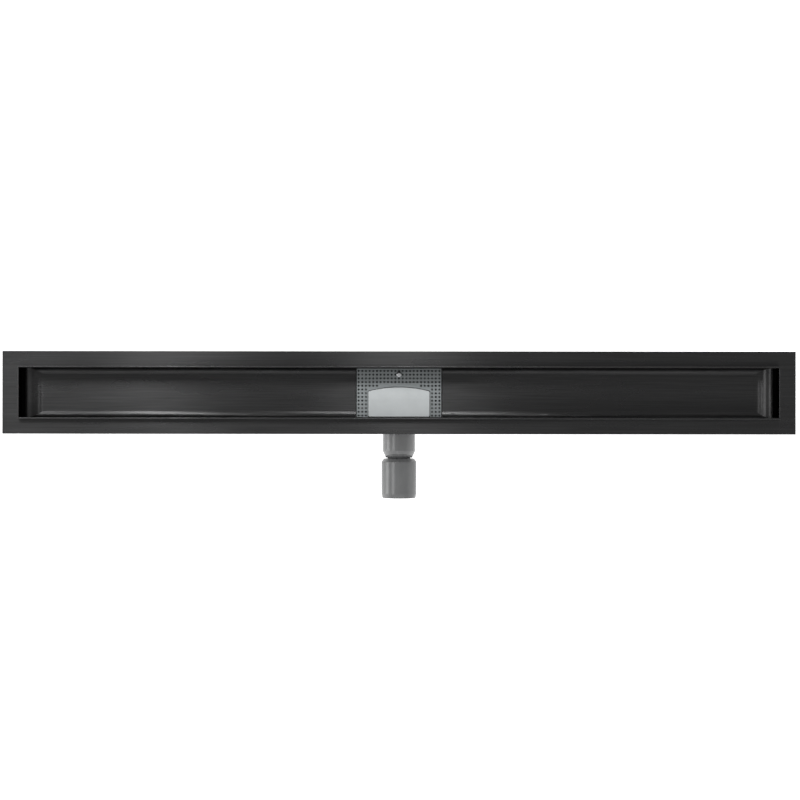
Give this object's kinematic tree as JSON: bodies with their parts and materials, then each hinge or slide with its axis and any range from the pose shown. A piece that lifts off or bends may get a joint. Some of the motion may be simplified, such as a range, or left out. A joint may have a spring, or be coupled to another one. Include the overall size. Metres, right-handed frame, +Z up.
{
  "type": "channel drain",
  "caption": "Long flanged floor channel with a perforated strainer over a central well, a trap and a side outlet.",
  "frame": {"origin": "on the floor slab, at the middle of the trap's flat underside, below the middle of the channel", "axes": "+X along the channel, outlet leaves towards -Y, +Z up through the grate opening"},
  "size_m": [1.1, 0.2074, 0.114],
  "materials": {
    "black_steel": "black brushed, satin",
    "strainer_steel": "fine brushed",
    "bright_steel": "turned, bright",
    "screw_steel": "blackened",
    "peg_plastic": "moulded",
    "cap_plastic": "moulded, satin",
    "trap_plastic": "moulded, half gloss",
    "seal_rubber": "moulded",
    "insert_brass": "turned",
    "bracket_steel": "mill finish",
    "zinc_steel": "zinc plated",
    "pad_plastic": "moulded"
  },
  "bodies": {
    "channel": {"channel_body": "black_steel", "strainer_plate": "strainer_steel", "strainer_feet": "peg_plastic", "strainer_knob": "bright_steel", "knob_nut": "bright_steel", "cleaning_cap": "cap_plastic", "cap_seal": "seal_rubber", "well_gasket": "seal_rubber", "clamp_frame": "peg_plastic", "clamp_screws": "screw_steel", "clamp_inserts": "insert_brass", "trap_housing": "trap_plastic", "trap_base": "trap_plastic", "ball_seal": "seal_rubber", "ball_retainer": "trap_plastic", "foot_bracket_left_front": "bracket_steel", "foot_bracket_left_back": "bracket_steel", "foot_bracket_right_front": "bracket_steel", "foot_bracket_right_back": "bracket_steel", "foot_nut_left_front": "zinc_steel", "foot_nut_left_back": "zinc_steel", "foot_nut_right_front": "zinc_steel", "foot_nut_right_back": "zinc_steel"},
    "outlet": {"outlet_ball": "trap_plastic", "outlet_spigot": "trap_plastic"},
    "foot_left_front": {"foot_stud_left_front": "zinc_steel", "foot_pad_left_front": "pad_plastic"},
    "foot_left_back": {"foot_stud_left_back": "zinc_steel", "foot_pad_left_back": "pad_plastic"},
    "foot_right_front": {"foot_stud_right_front": "zinc_steel", "foot_pad_right_front": "pad_plastic"},
    "foot_right_back": {"foot_stud_right_back": "zinc_steel", "foot_pad_right_back": "pad_plastic"}
  },
  "joints": [
    {"name": "outlet_tilt", "type": "hinge", "parent": "channel", "child": "outlet", "pos_m": [0, -0.08, 0.03], "axis": [-1, 0, 0], "range_deg": [-3, 15]},
    {"name": "foot_left_front_height", "type": "slide", "parent": "channel", "child": "foot_left_front", "axis": [0, 0, -1], "range_m": [0, 0.05]},
    {"name": "foot_left_back_height", "type": "slide", "parent": "channel", "child": "foot_left_back", "axis": [0, 0, -1], "range_m": [0, 0.05]},
    {"name": "foot_right_front_height", "type": "slide", "parent": "channel", "child": "foot_right_front", "axis": [0, 0, -1], "range_m": [0, 0.05]},
    {"name": "foot_right_back_height", "type": "slide", "parent": "channel", "child": "foot_right_back", "axis": [0, 0, -1], "range_m": [0, 0.05]}
  ]
}
